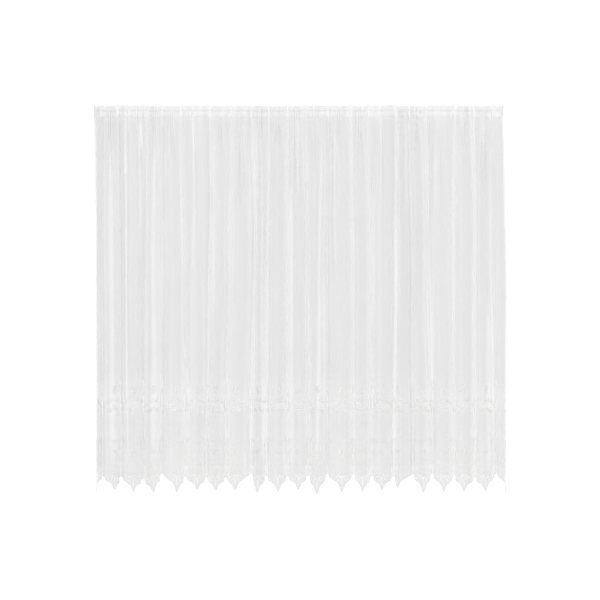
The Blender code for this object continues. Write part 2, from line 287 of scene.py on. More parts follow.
class FoldPlan:
    # The cloth's line in plan at any drop: the folds, and the small pleats while they last
    def __init__(self):
        left, right = hang["edgesAtHeading"]
        self.places = np.array([
            [left, *(row.top for row in hang["folds"]), right],
            [hemPlaces[0], *(row.middle for row in hang["folds"]), hemPlaces[-1]],
            [hemPlaces[0], *(row.lower for row in hang["folds"]), hemPlaces[-1]],
        ])
        self.gone = np.array([row.gone for row in hang["smallPleats"]])
        self.smallCloth = np.zeros(len(self.gone))
        self.foldCloth = np.array([0.0, *hemCloth[1::2], flatWidth])
        self.leftShares = np.full(len(self.foldCloth) - 1, 0.5)
        self.settleWalls()
        self.settleSmallPleats()

    def settleWalls(self):
        # Walls grow on one side of each flat part until the tip there hangs in its place
        slack = np.diff(self.foldCloth) - np.diff(self.places[2])
        for _ in range(hang["settleRounds"]):
            tooFar = np.interp(hemCloth, clothSteps, self.at(hang["lowerDrop"])[0]) - hemPlaces
            self.leftShares[1:-1] += hang["settleStep"] * tooFar[2:-1:2] / slack[1:-1]
            self.leftShares = np.clip(self.leftShares, hang["leastLeftShare"], 1 - hang["leastLeftShare"])

    def settleSmallPleats(self):
        # Small pleats slide along the cloth until they hang where they should at the heading
        wanted = np.array([row.place for row in hang["smallPleats"]])
        self.smallCloth = np.interp(wanted, self.places[0], self.foldCloth)
        for _ in range(hang["settleRounds"]):
            places = np.interp(self.smallCloth, clothSteps, self.at(hang["headingDrop"])[0])
            self.smallCloth += hang["settleStep"] * (wanted - places)

    def strengths(self, turns, widths):
        # How much harder the cloth turns between each two folds, by halving, so that all of it is taken up
        between = np.clip(np.searchsorted(self.foldCloth, clothSteps, side="right") - 1, 0, len(widths) - 1)
        low, high = (np.full(len(widths), strength) for strength in hang["strengthRange"])
        for _ in range(hang["halvings"]):
            middle = (low + high) / 2
            places = along(np.cos(middle[between] * turns))
            tooWide = np.diff(np.interp(self.foldCloth, clothSteps, places)) > widths
            low, high = np.where(tooWide, middle, low), np.where(tooWide, high, middle)
        return low[between]

    def at(self, drop):
        sizes = 1 - smooth((drop - hang["headingDrop"]) / (self.gone - hang["headingDrop"]))
        small = smallDirections(self.smallCloth, sizes)
        saved = np.diff(np.interp(self.foldCloth, clothSteps, along(1 - np.cos(small))))
        drops = hang["headingDrop"], hang["middleDrop"], hang["lowerDrop"]
        folds = np.array([np.interp(drop, drops, column) for column in self.places.T])
        turns = directions(self.foldCloth, np.diff(folds) + saved, self.leftShares) + small
        turns = turns * self.strengths(turns, np.diff(folds))
        return folds[0] + along(np.cos(turns)), centred(along(np.sin(turns)))


def hemReach(cloth):
    # From notch, 0, to tip, 1: half a cosine wave for the shoulders and a narrow bell for the point
    away = np.abs(cloth / repeatWidth - np.round(cloth / repeatWidth)) * 2
    point = np.exp(-((away / hang["pointHalfWidth"]) ** 2))
    return (1 - hang["pointShare"]) * (1 + np.cos(np.pi * away)) / 2 + hang["pointShare"] * point


def hungHem(cloth):
    # The hem's drop as it hangs, each scallop with its own notch and tip
    inScallop = np.clip(cloth // repeatWidth, 0, repeatCount - 1).astype(int)
    nearest = np.clip(np.round(cloth / repeatWidth), 0, repeatCount).astype(int)
    tips = np.append([row.tipDrop for row in hang["scallops"]], hang["lastTip"][1])[nearest]
    notches = np.array([row.notchDrop for row in hang["scallops"]])[inScallop]
    return notches + (tips - notches) * hemReach(cloth)


def knitHem(cloth):
    # The same hem as knitted, all scallops alike
    return hang["knitNotch"] + (hang["knitTip"] - hang["knitNotch"]) * hemReach(cloth)


def ripples(rows, cloth, drop):
    # Sine waves added up, each with its own size and length along the cloth and down it
    turns = [2 * np.pi * (cloth / row.along + drop / row.down) + row.phase for row in rows]
    return sum(row.size * np.sin(turn) for row, turn in zip(rows, turns))


def gatheredAndLitShare(places):
    # 1 less the cosine of the plan's angle to the front, averaged along the cloth and times each fold's
    # light: painted highlight on steep fold walls, where the net also looks drawn denser
    reach = round(hang["highlightReach"] / clothSteps[1])
    bell = np.hanning(2 * reach + 3)[1:-1]
    turned = 1 - np.abs(np.gradient(places, clothSteps, axis=1))
    turned = np.pad(turned, ((0, 0), (reach, reach)), mode="edge")
    light = np.array([row.light for row in hang["folds"]])
    light = light[np.minimum(clothSteps // repeatWidth, repeatCount - 1).astype(int)]
    return np.lib.stride_tricks.sliding_window_view(turned, len(bell), 1) @ bell / bell.sum() * light


def buildHangTable():
    # Points and front normals of the hung cloth on a grid of drops and cloth distances: the plan, with the
    # creases as bells across and eased ends, slow sine waves that are nothing at the heading and the hem, and
    # a curl at the hem. Gathered net and its painted highlight get a bell on each raised crease.
    plan = FoldPlan()
    drops = np.linspace(0.0, hang["tableDrop"], hang["tableRows"])
    line = np.array([plan.at(drop) for drop in drops])
    places, depths = line[:, 0], line[:, 1]
    gatheredAndLit = gatheredAndLitShare(places)
    drop, cloth = np.meshgrid(drops, clothSteps, indexing="ij")
    for row in hang["creases"]:
        run = (drop - row.fromDrop) / (row.toDrop - row.fromDrop)
        across = (places - row.place - row.drift * run) / row.width
        ends = smooth(run / hang["creaseEnd"]) * smooth((1 - run) / hang["creaseEnd"])
        lifted = row.height * ends * np.exp(-(across**2))
        depths = depths - lifted
        # Painted highlight on each raised crease, none in the troughs
        gatheredAndLit = gatheredAndLit + np.maximum(lifted, 0.0) * hang["creaseHighlight"]
    free = np.sin(np.pi * np.clip((drop - hang["freeFrom"]) / hang["freeLength"], 0.0, 1.0))
    curled = smooth((drop - hang["curlFrom"]) / hang["curlLength"])
    places = places + free * ripples(hang["sway"], cloth, drop)
    depths = depths + free * ripples(hang["lean"], cloth, drop)
    depths = depths + curled * ripples(hang["hemCurl"], cloth, drop)
    points = np.stack([places, depths, -drop], axis=-1)
    normals = np.cross(np.gradient(points, drops, axis=0), np.gradient(points, clothSteps, axis=1))
    normals = normals / np.linalg.norm(normals, axis=-1, keepdims=True)
    return drops, points, normals, gatheredAndLit[..., None]


tableDrops, tablePoints, tableNormals, tableGatheredAndLit = buildHangTable()
print("Hang worked out: depth", tablePoints[..., 1].min().round(4), "to", tablePoints[..., 1].max().round(4))


def folded(cloth):
    # Cloth past either side edge is folded over
    return flatWidth - np.abs(flatWidth - np.abs(cloth))


def readTables(cloth, knitDrop, *tables):
    # Tables read at places of the knitted cloth, in proportion between their nearest rows and columns. Cloth
    # past the top edge is folded over too. Below scallopsBegin the drop is stretched to the uneven hem.
    cloth, knitDrop = folded(cloth), np.abs(knitDrop)
    begin = hang["scallopsBegin"]
    stretch = (hungHem(cloth) - begin) / (knitHem(cloth) - begin)
    drop = np.minimum(knitDrop, begin) + np.maximum(knitDrop - begin, 0.0) * stretch
    row = np.clip(drop / tableDrops[1], 0.0, len(tableDrops) - hang["lastCell"])
    column = np.clip(cloth / clothSteps[1], 0.0, len(clothSteps) - hang["lastCell"])
    i, j = row.astype(int), column.astype(int)
    u, v = (row - i)[..., None], (column - j)[..., None]
    upper = [values[i, j] * (1 - v) + values[i, j + 1] * v for values in tables]
    lower = [values[i + 1, j] * (1 - v) + values[i + 1, j + 1] * v for values in tables]
    return [above * (1 - u) + under * u for above, under in zip(upper, lower)]


def hung(cloth, knitDrop, lift):
    # Point of the knitted cloth as it hangs, plus the front normal times the lift, less the layers that the
    # turned hems lie behind, plus a sine wave of puckers along the tape
    pastSide, pastTop = np.maximum(-cloth, cloth - flatWidth), -knitDrop
    layers = smooth(pastSide / header["turnLength"]) + smooth(pastTop / header["turnLength"])
    point, normal = readTables(cloth, knitDrop, tablePoints, tableNormals)
    normal = normal / np.linalg.norm(normal, axis=-1, keepdims=True)
    inFrom, inTo = (np.abs(knitDrop) - hang["puckerFrom"]), (hang["puckerTo"] - np.abs(knitDrop))
    band = smooth(inFrom / hang["puckerEase"]) * smooth(inTo / hang["puckerEase"])
    pucker = hang["puckerSize"] * band * np.sin(2 * np.pi * np.abs(cloth) / hang["puckerPitch"])
    return point + normal * (lift - layers * header["layerGap"] + pucker)[..., None]


def meshPiece(name, points, faces, flat, material):
    # One smooth mesh from points, four-cornered faces and each point's place on the flat cloth.
    # Its map "flat" is in metres of cloth, and "OFBake" is the same map fitted to the unit square.
    mesh = bpy.data.meshes.new(name)
    mesh.vertices.add(len(points))
    mesh.vertices.foreach_set("co", points.astype(np.float32).ravel())
    mesh.loops.add(faces.size)
    mesh.loops.foreach_set("vertex_index", faces.astype(np.int32).ravel())
    mesh.polygons.add(len(faces))
    mesh.polygons.foreach_set("loop_start", np.arange(0, faces.size, 4, dtype=np.int32))
    mesh.polygons.foreach_set("use_smooth", np.ones(len(faces), bool))
    mesh.update(calc_edges=True)
    mesh.validate()
    low, high = flat.min(axis=0), flat.max(axis=0)
    for mapName, places in (("flat", flat), ("OFBake", (flat - low) / (high - low))):
        layer = mesh.uv_layers.new(name=mapName)
        layer.data.foreach_set("uv", places[faces.ravel()].astype(np.float32).ravel())
    mesh.uv_layers["flat"].active_render = True
    mesh.materials.append(material)
    piece = bpy.data.objects.new(name, mesh)
    bpy.context.scene.collection.objects.link(piece)
    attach(piece, "root")
    print(f"  {name}: {2 * len(faces)} triangles")
    return piece


def pairs(cloth, drop):
    # Points of the flat cloth from their cloth distances and drops
    return np.stack(np.broadcast_arrays(cloth, drop), axis=-1)


def quads(*corners):
    return np.stack(corners, axis=-1).reshape(-1, 4)


# Threads, leaves and petals are all strands: a path on the flat cloth with an oval section
def strands(paths, halfWidth, halfHeight, sides=6, lift=0.0):
    # Ring point = path + halfWidth times cosine across it + halfHeight times sine off the cloth.
    # paths is (strand, point, 2), and the sizes are one number or one for each point.
    count, length = paths.shape[:2]
    step = np.gradient(paths, axis=1)
    step = step / np.maximum(np.linalg.norm(step, axis=2, keepdims=True), 1e-9)
    across = pairs(-step[..., 1], step[..., 0])[:, :, None, :]
    turn = 2 * np.pi * (np.arange(sides) + 0.5) / sides
    width, high, middle = (
        np.broadcast_to(size, (count, length))[..., None] for size in (halfWidth, halfHeight, lift)
    )
    flat = paths[:, :, None, :] + across * (width * np.cos(turn))[..., None]
    points = hung(flat[..., 0], flat[..., 1], high * np.sin(turn) + middle)
    index = np.arange(count * length * sides).reshape(count, length, sides)
    after = np.roll(index, -1, axis=2)
    walls = quads(index[:, :-1], index[:, 1:], after[:, 1:], after[:, :-1])
    ladder = [(k, k + 1, sides - 2 - k, sides - 1 - k) for k in range(sides // 2 - 1)]
    starts = np.concatenate([index[:, 0][:, list(rung)] for rung in ladder])
    ends = np.concatenate([index[:, -1][:, list(rung[::-1])] for rung in ladder])
    return points.reshape(-1, 3), np.concatenate([walls, starts, ends]), flat.reshape(-1, 2)


def strandPiece(name, parts, material):
    # Joins several sets of strands into one piece, and turns its faces out if they point in
    before = np.cumsum([0, *(len(part[0]) for part in parts)])
    points, flat = (np.concatenate([part[k] for part in parts]) for k in (0, 2))
    faces = np.concatenate([part[1] + count for part, count in zip(parts, before)])
    a, b, c, d = (points[faces[:, k]] for k in range(4))
    volume = (np.cross(a, b) * c).sum() + (np.cross(a, c) * d).sum()
    return meshPiece(name, points, faces if volume > 0 else faces[:, ::-1], flat, material)


# Helpers for nodes, and the shader groups that several finishes share
knit = {
    "threadEdge": (1.6, 0.2),     # the sum of the net's three waves at the hole's side and the thread's side
    "threadRise": (1.8, -1.5),
    "fineShare": 0.4,             # of the yarn's fine grain in its shade, and the rest is broad
    "fineDetail": 2.0,
    "broadDetail": 3.0,
    "twistRound": 0.6,
    "grainRange": (0.3, 0.7),     # of the grain's shade, over which roughness changes
    "yarnSpecular": 0.3,
    "yarnRelief": (0.5, 0.0003),    # strength and height
}


def feed(value, socket):
    # Another socket is linked, and a plain value is set
    if isinstance(value, bpy.types.NodeSocket):
        socket.id_data.links.new(value, socket)
    else:
        socket.default_value = value


def maths(operation, *values):
    # In the tree of the first value that is a socket
    tree = next(value.id_data for value in values if isinstance(value, bpy.types.NodeSocket))
    node = tree.nodes.new("ShaderNodeMath")
    node.operation = operation
    for socket, value in zip(node.inputs, values):
        feed(value, socket)
    return node.outputs[0]


def ranged(value, *limits, kind="SMOOTHSTEP"):
    # From the first two limits to the last two, or to 0 and 1
    node = value.id_data.nodes.new("ShaderNodeMapRange")
    node.interpolation_type = kind
    for name, wanted in zip(("Value", "From Min", "From Max", "To Min", "To Max"), (value, *limits)):
        feed(wanted, node.inputs[name])
    return node.outputs["Result"]


def split(vector):
    node = vector.id_data.nodes.new("ShaderNodeSeparateXYZ")
    feed(vector, node.inputs["Vector"])
    return node.outputs["X"], node.outputs["Y"]


def newGroup(name, sizes, results):
    # A group that reads the flat map and sizes
    group = bpy.data.node_groups.new(name, "ShaderNodeTree")
    group.interface.new_socket("Flat", in_out="INPUT", socket_type="NodeSocketVector")
    for way, sockets in (("INPUT", sizes), ("OUTPUT", results)):
        for socket in sockets:
            group.interface.new_socket(socket, in_out=way, socket_type="NodeSocketFloat")
    given, out = group.nodes.new("NodeGroupInput"), group.nodes.new("NodeGroupOutput")
    return group, given.outputs, out.inputs


def buildNetGroup():
    # Six-sided net: three cosine waves 60 degrees apart add up to a peak in the middle of each mesh
    group, given, out = newGroup("sixSidedNet", ["Pitch"], ["Threads", "Height"])
    total = None
    for angle in (np.pi / 2, np.pi / 2 + np.pi / 3, np.pi / 2 - np.pi / 3):
        dot = group.nodes.new("ShaderNodeVectorMath")
        dot.operation = "DOT_PRODUCT"
        feed(given["Flat"], dot.inputs[0])
        dot.inputs[1].default_value = (np.cos(angle) * 2 * np.pi, np.sin(angle) * 2 * np.pi, 0.0)
        wave = maths("COSINE", maths("DIVIDE", dot.outputs["Value"], given["Pitch"]))
        total = wave if total is None else maths("ADD", total, wave)
    feed(ranged(total, *knit["threadEdge"]), out["Threads"])
    feed(ranged(total, *knit["threadRise"]), out["Height"])
    return group


def buildYarnGroup():
    # Yarn grain: two noises, one fine for the fibres and one broad for uneven knitting
    group, given, out = newGroup("yarnGrain", ["Fine", "Broad"], ["Shade", "Height"])
    fine, broad = (group.nodes.new("ShaderNodeTexNoise") for _ in range(2))
    for noise, scale, detail in ((fine, "Fine", knit["fineDetail"]), (broad, "Broad", knit["broadDetail"])):
        feed(given["Flat"], noise.inputs["Vector"])
        feed(given[scale], noise.inputs["Scale"])
        feed(detail, noise.inputs["Detail"])
    shade = maths("ADD", maths("MULTIPLY", fine.outputs["Fac"], knit["fineShare"]),
                  maths("MULTIPLY", broad.outputs["Fac"], 1 - knit["fineShare"]))
    feed(shade, out["Shade"])
    feed(fine.outputs["Fac"], out["Height"])
    return group


def buildTwistGroup():
    # Twisted thread: slanting bands, the sine of (across + along) over the pitch, rounded
    group, given, out = newGroup("twistedThread", ["Pitch"], ["Strand"])
    slant = maths("ADD", *split(given["Flat"]))
    turns = maths("MULTIPLY", maths("DIVIDE", slant, given["Pitch"]), 2 * np.pi)
    band = ranged(maths("SINE", turns), -1.0, 1.0)
    feed(maths("POWER", band, knit["twistRound"]), out["Strand"])
    return group


def buildWeaveGroup():
    # Plain weave: warp and weft waves a quarter turn apart, whichever is higher
    group, given, out = newGroup("plainWeave", ["Pitch"], ["Raised"])
    across, down = (
        maths("MULTIPLY", maths("DIVIDE", way, given["Pitch"]), np.pi)
        for way in split(given["Flat"])
    )
    over = maths("MULTIPLY", maths("SINE", across), maths("COSINE", down))
    under = maths("MULTIPLY", maths("COSINE", across), maths("SINE", down))
    top = maths("MAXIMUM", maths("ABSOLUTE", over), maths("ABSOLUTE", under))
    feed(top, out["Raised"])
    return group


netGroup = buildNetGroup()
yarnGroup = buildYarnGroup()
twistGroup = buildTwistGroup()
weaveGroup = buildWeaveGroup()


def newFinish(name):
    # An empty material with its shader's inputs, the flat map and a helper that places a group
    material = bpy.data.materials.new(name)
    material.use_nodes = True
    tree = material.node_tree
    flat = tree.nodes.new("ShaderNodeUVMap")
    flat.uv_map = "flat"

    def place(group, **sizes):
        node = tree.nodes.new("ShaderNodeGroup")
        node.node_tree = group
        feed(flat.outputs["UV"], node.inputs["Flat"])
        for socket, size in sizes.items():
            node.inputs[socket].default_value = size
        return node.outputs

    return material, tree.nodes["Principled BSDF"].inputs, flat.outputs["UV"], place


def letThrough(tree, share, colour):
    # Cloth that glows with light from behind: part of it is a translucent shader
    glow = tree.nodes.new("ShaderNodeBsdfTranslucent")
    glow.inputs["Color"].default_value = colour
    mix = tree.nodes.new("ShaderNodeMixShader")
    mix.inputs["Fac"].default_value = share
    feed(tree.nodes["Principled BSDF"].outputs["BSDF"], mix.inputs[1])
    feed(glow.outputs["BSDF"], mix.inputs[2])
    feed(mix.outputs["Shader"], tree.nodes["Material Output"].inputs["Surface"])


def mixColour(mask, first, second):
    node = mask.id_data.nodes.new("ShaderNodeMix")
    node.data_type = "RGBA"
    colours = [socket for socket in node.inputs if socket.type == "RGBA"]
    for value, socket in zip((mask, first, second), (node.inputs[0], *colours)):
        feed(value, socket)
    return next(socket for socket in node.outputs if socket.type == "RGBA")


def bump(shader, height, strength, distance):
    node = height.id_data.nodes.new("ShaderNodeBump")
    for name, value in (("Strength", strength), ("Distance", distance), ("Height", height)):
        feed(value, node.inputs[name])
    feed(node.outputs["Normal"], shader["Normal"])


def ramp(value, stops):
    # A float ramp through (drop, value) stops
    node = value.id_data.nodes.new("ShaderNodeValToRGB")
    low, high = stops[0][0], stops[-1][0]
    elements = node.color_ramp.elements
    while len(elements) < len(stops):
        elements.new(0.5)
    for element, (drop, level) in zip(elements, stops):
        element.position = (drop - low) / (high - low)
        element.color = (level, level, level, 1.0)
    feed(ranged(value, low, high, kind="LINEAR"), node.inputs["Fac"])
    return node.outputs["Color"]


# The lace: net ground, thicker where it is turned, in the border and along the hem, with painted highlight on
# fold walls and raised creases and painted shade lines in the header
lace = {
    "netPitch": 0.0024,
    "fineGrain": 700.0,
    "broadGrain": 9.0,
    "groundColour": (0.526, 0.528, 0.529, 1.0),
    # Colour of thick knit and of the painted highlight
    "thickAndLitColour": (0.990, 0.991, 0.990, 1.0),
    "holeAlpha": 0.55,
    "threadAlpha": 0.97,
    "glowShare": 0.36,
    "glowColour": (0.975, 0.977, 0.975, 1.0),
    "gatheredAndLitTo": 0.80,           # value of the gathered-net and painted-highlight attribute where the net looks lightest
    "gatheredAndLitPower": 1.5,
    "headingHighlightFade": (0.020, 0.045, 0.60, 0.88),    # from this drop to that, how strong the painted highlight gets
    "turnedLight": 0.6,           # of the side hems and the turned top edge
    "sideHemFades": (0.0125, 0.0105),
    "topEdgeFades": (0.0, -0.001),
    "bandPitch": 0.030,           # lighter and darker bands down the cloth, at random
    "bandLight": 0.40,
    "grainLight": 0.22,
    "denseCover": 0.4,
    "roughness": (0.78, 0.92),
    "specular": 0.25,
    "netRelief": 0.7,
    "grainRelief": 0.3,
    "relief": (0.35, 0.0004),     # strength and height
    "headerKnitAndShade": (              # drop below the top edge, and how dense the knit is there, with darker lines 5 mm down and at the tape's top edge: thinner knit, and painted shade of the groove along the tape
        (0.000, 0.86), (0.0035, 0.78), (0.0053, 0.46), (0.0075, 0.62), (0.0108, 0.70), (0.0140, 0.60),
        (0.0185, 0.42), (0.0215, 0.56), (0.0240, 0.76), (0.0270, 0.72), (0.0400, 0.56), (0.0422, 0.34),
        (0.0450, 0.10), (0.0600, 0.02), (0.1000, 0.00),
    ),
    "borderBands": (
        (1.000, 0.00), (1.040, 0.05), (1.080, 0.10), (1.125, 0.17), (1.165, 0.05), (1.195, 0.02),
        (1.245, 0.09), (1.285, 0.16), (1.340, 0.16), (1.376, 0.10), (1.460, 0.04),
    ),
}


def buildLaceFinish():
    material, shader, flat, place = newFinish("knittedLace")
    tree = material.node_tree
    cloth, drop = split(flat)
    net = place(netGroup, Pitch=lace["netPitch"])
    grain = place(yarnGroup, Fine=lace["fineGrain"], Broad=lace["broadGrain"])
    fromMiddle = maths("ABSOLUTE", maths("SUBTRACT", cloth, flatWidth / 2))
    fromSide = maths("SUBTRACT", flatWidth / 2, fromMiddle)
    knitsAndShade = (ramp(drop, lace[name]) for name in ("headerKnitAndShade", "borderBands"))
    # Thick knit, with the header's painted shade lines
    thickKnitAndShade = maths("MAXIMUM", *knitsAndShade)
    for inside, fades in ((fromSide, lace["sideHemFades"]), (drop, lace["topEdgeFades"])):
        thickKnitAndShade = maths("MAXIMUM", thickKnitAndShade, ranged(inside, *fades, 0.0, lace["turnedLight"]))
    # Painted highlight on fold walls and raised creases, where the net also looks drawn denser, faded in the
    # heading
    held = tree.nodes.new("ShaderNodeAttribute")
    held.attribute_name = "gatheredAndLit"
    gatheredAndLit = ranged(held.outputs["Fac"], 0.0, lace["gatheredAndLitTo"], kind="LINEAR")
    gatheredAndLit = maths("POWER", gatheredAndLit, lace["gatheredAndLitPower"])
    gatheredAndLit = maths("MULTIPLY", gatheredAndLit, ranged(drop, *lace["headingHighlightFade"], kind="LINEAR"))
    bands = tree.nodes.new("ShaderNodeTexNoise")
    bands.noise_dimensions = "1D"
    bands.inputs["Scale"].default_value = 1 / lace["bandPitch"]
    feed(cloth, bands.inputs["W"])
    shade = maths("ADD", thickKnitAndShade, gatheredAndLit)
    for noise, light in ((grain["Shade"], lace["grainLight"]), (bands.outputs["Fac"], lace["bandLight"])):
        uneven = maths("SUBTRACT", noise, 0.5)
        shade = maths("ADD", shade, maths("MULTIPLY", uneven, light))
    feed(mixColour(shade, lace["groundColour"], lace["thickAndLitColour"]), shader["Base Color"])
    cover = maths("MAXIMUM", maths("MULTIPLY", thickKnitAndShade, lace["denseCover"]), gatheredAndLit)
    cover = maths("MAXIMUM", net["Threads"], cover)
    alpha = ranged(cover, 0.0, 1.0, lace["holeAlpha"], lace["threadAlpha"], kind="LINEAR")
    feed(alpha, shader["Alpha"])
    rough = ranged(grain["Shade"], *knit["grainRange"], *lace["roughness"], kind="LINEAR")
    feed(rough, shader["Roughness"])
    shader["Specular IOR Level"].default_value = lace["specular"]
    height = maths("ADD", maths("MULTIPLY", net["Height"], lace["netRelief"]),
                   maths("MULTIPLY", grain["Height"], lace["grainRelief"]))
    bump(shader, height, *lace["relief"])
    letThrough(tree, lace["glowShare"], lace["glowColour"])
    return material


laceFinish = buildLaceFinish()


# The cloth itself: one sheet with its header and side hems turned to the back
header = {
    "turnedDepth": 0.042,
    "layerGap": 0.0008,
    "turnLength": 0.0012,
    "sideHem": 0.012,
}

clothRows = {
    "side": (-0.012, -0.007, -0.003, -0.0012, -0.0005),
    "turned": (-0.042, -0.028, -0.014, -0.0012, -0.0005),
    "heading": (0.0, 0.004, 0.011, 0.018, 0.024, 0.031, 0.038, 0.046),
    "upper": 20,                  # rows from the heading to the middle drop
    "middle": 8,
    "border": 14,
    "scallops": 9,
    "borderBegins": 1.020,
}


def buildCloth():
    # Grid of knitted drop by cloth distance. The last rows run in step with the scalloped hem.
    side = np.array(clothRows["side"])
    cloth = np.concatenate([side, clothSteps, flatWidth - side[::-1]])
    begin = hang["scallopsBegin"]
    ends = hang["headingDrop"], hang["middleDrop"], clothRows["borderBegins"], begin
    spans = [
        np.linspace(top, bottom, clothRows[name] + 1)[1:]
        for name, top, bottom in zip(("upper", "middle", "border"), ends, ends[1:])
    ]
    drops = np.concatenate([clothRows["turned"], clothRows["heading"], *spans])
    run = np.arange(1, clothRows["scallops"] + 1)[:, None] / clothRows["scallops"]
    knitDrop = np.concatenate([
        np.broadcast_to(drops[:, None], (len(drops), len(cloth))),
        begin + (knitHem(folded(cloth)) - begin) * run,
    ])
    flat = pairs(cloth, knitDrop)
    points = hung(flat[..., 0], knitDrop, 0.0)
    index = np.arange(knitDrop.size).reshape(knitDrop.shape)
    faces = quads(index[1:, :-1], index[1:, 1:], index[:-1, 1:], index[:-1, :-1])
    piece = meshPiece("laceCloth", points.reshape(-1, 3), faces, flat.reshape(-1, 2), laceFinish)
    # The painted highlight on fold walls and raised creases, with the net's denser gathered look, goes to a
    # point attribute
    gatheredAndLit, = readTables(flat[..., 0], knitDrop, tableGatheredAndLit)
    layer = piece.data.attributes.new("gatheredAndLit", "FLOAT", "POINT")
    layer.data.foreach_set("value", gatheredAndLit.astype(np.float32).ravel())
    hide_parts("lace_cloth")
    return piece


clothPiece = buildCloth()
print("Cloth hung")

# White thread, for stitches, cords and everything knitted thick
thread = {
    "colour": (0.985, 0.987, 0.983, 1.0),
    "shadeColour": (0.960, 0.963, 0.960, 1.0),
    "shadeRange": (0.05, 0.45),
    "roughness": (0.62, 0.80),
    "alpha": 0.81,
    "ply": 0.0011,                # from one turn of the twist to the next
    "fineGrain": 1400.0,
    "broadGrain": 20.0,
}


def finishYarn(shader, yarn, grain, mask, height):
    # Colour by the mask, which paints shade into the yarn's hollows, roughness by the grain and relief by the
    # height, with one alpha all over
    feed(mixColour(mask, yarn["shadeColour"], yarn["colour"]), shader["Base Color"])
    feed(ranged(grain["Shade"], *knit["grainRange"], *yarn["roughness"]), shader["Roughness"])
    shader["Specular IOR Level"].default_value = knit["yarnSpecular"]
    shader["Alpha"].default_value = yarn["alpha"]
    bump(shader, height, *knit["yarnRelief"])


def buildThreadFinish():
    material, shader, _, place = newFinish("whiteThread")
    strand = place(twistGroup, Pitch=thread["ply"])["Strand"]
    grain = place(yarnGroup, Fine=thread["fineGrain"], Broad=thread["broadGrain"])
    # Darker in the twist's grooves: painted shade, with the grain's uneven tone
    grooveShadeAndGrain = ranged(maths("MULTIPLY", strand, grain["Shade"]), *thread["shadeRange"])
    finishYarn(shader, thread, grain, grooveShadeAndGrain, strand)
    return material


threadFinish = buildThreadFinish()


# The heading tape, sewn to the back: a closed band with two gathering cords woven in, and loops for hooks
tape = {
    "top": 0.019,
    "bottom": 0.043,
    "frontPoints": 7,
    "frontLift": -0.0011,
    "backPoints": 21,
    "backLift": -0.0019,
    "cordDrops": (0.0255, 0.0365),
    "cordSwell": 0.0008,
    "cordWidth": 0.0011,
    "pointStep": 0.00133,         # of the flat map, from one point round the band to the next
    "endsIn": 0.0047,             # from each side edge of the cloth
    "loopPitch": 0.0375,
    "loopDrops": (0.0232, 0.0388),
    "loopPoints": 9,
    "loopWidth": 0.0022,
    "loopThickness": 0.0003,
    "loopGap": 0.0004,
    "loopBow": 0.0014,
    "colour": (0.985, 0.987, 0.983, 1.0),
    "shadeColour": (0.970, 0.972, 0.970, 1.0),
    "shadeRange": (0.25, 0.7, 0.6, 1.0),
    "roughness": (0.74, 0.90),
    "alpha": 0.15,                # a band woven openly enough to see through
    "pick": 0.0009,               # from one weft thread to the next
    "fineGrain": 1100.0,
    "broadGrain": 30.0,
}


def buildTapeFinish():
    material, shader, _, place = newFinish("wovenTape")
    weave = place(weaveGroup, Pitch=tape["pick"])["Raised"]
    grain = place(yarnGroup, Fine=tape["fineGrain"], Broad=tape["broadGrain"])
    # Darker where the weave dips: painted shade, with the grain's uneven tone
    shade = maths("MULTIPLY", weave, ranged(grain["Shade"], *tape["shadeRange"]))
    finishYarn(shader, tape, grain, shade, weave)
    return material


def buildTape():
    # Profile carried along the cloth: down the front, then up the back, where each gathering cord swells the
    # back by a bell over its drop
    down = np.linspace(tape["top"], tape["bottom"], tape["frontPoints"])
    up = np.linspace(tape["bottom"], tape["top"], tape["backPoints"])
    swell = sum(np.exp(-(((up - drop) / tape["cordWidth"]) ** 2)) for drop in tape["cordDrops"])
    front = np.full(len(down), tape["frontLift"])
    lifts = np.concatenate([front, tape["backLift"] - tape["cordSwell"] * swell])
    inside = clothSteps[(clothSteps > tape["endsIn"]) & (clothSteps < flatWidth - tape["endsIn"])]
    cloth, drop = np.meshgrid(inside, np.concatenate([down, up]))
    points = hung(cloth, drop, lifts[:, None])
    index = np.arange(drop.size).reshape(drop.shape)
    ring = np.concatenate([index, index[:1]])
    walls = quads(ring[:-1, :-1], ring[:-1, 1:], ring[1:, 1:], ring[1:, :-1])
    rungs = np.arange(len(lifts) // 2 - 1)
    first, second = index[rungs], index[len(lifts) - 1 - rungs]
    nextFirst, nextSecond = index[rungs + 1], index[len(lifts) - 2 - rungs]
    ends = quads(first[:, 0], nextFirst[:, 0], nextSecond[:, 0], second[:, 0])
    others = quads(second[:, -1], nextSecond[:, -1], nextFirst[:, -1], first[:, -1])
    flat = pairs(cloth, np.arange(len(lifts))[:, None] * tape["pointStep"])
    band = points.reshape(-1, 3), np.concatenate([walls, ends, others]), flat.reshape(-1, 2)
    piece = strandPiece("headingTape", [band], tapeFinish)
    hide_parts("heading_tape")
    return piece


def buildHookLoops():
    # Short flat straps on the back of the tape, bowed off it as a sine from end to end
    across = np.arange(tape["loopPitch"] / 2, flatWidth, tape["loopPitch"])
    run = np.linspace(0.0, 1.0, tape["loopPoints"])
    top, bottom = tape["loopDrops"]
    paths = pairs(across[:, None], top + (bottom - top) * run)
    bow = tape["backLift"] - tape["loopGap"] - tape["loopBow"] * np.sin(np.pi * run)
    straps = strands(paths, tape["loopWidth"], tape["loopThickness"], lift=bow)
    piece = strandPiece("hookLoops", [straps], tapeFinish)
    return piece


tapeFinish = buildTapeFinish()
tapePiece = buildTape()
loopPiece = buildHookLoops()
print("Tape sewn on")


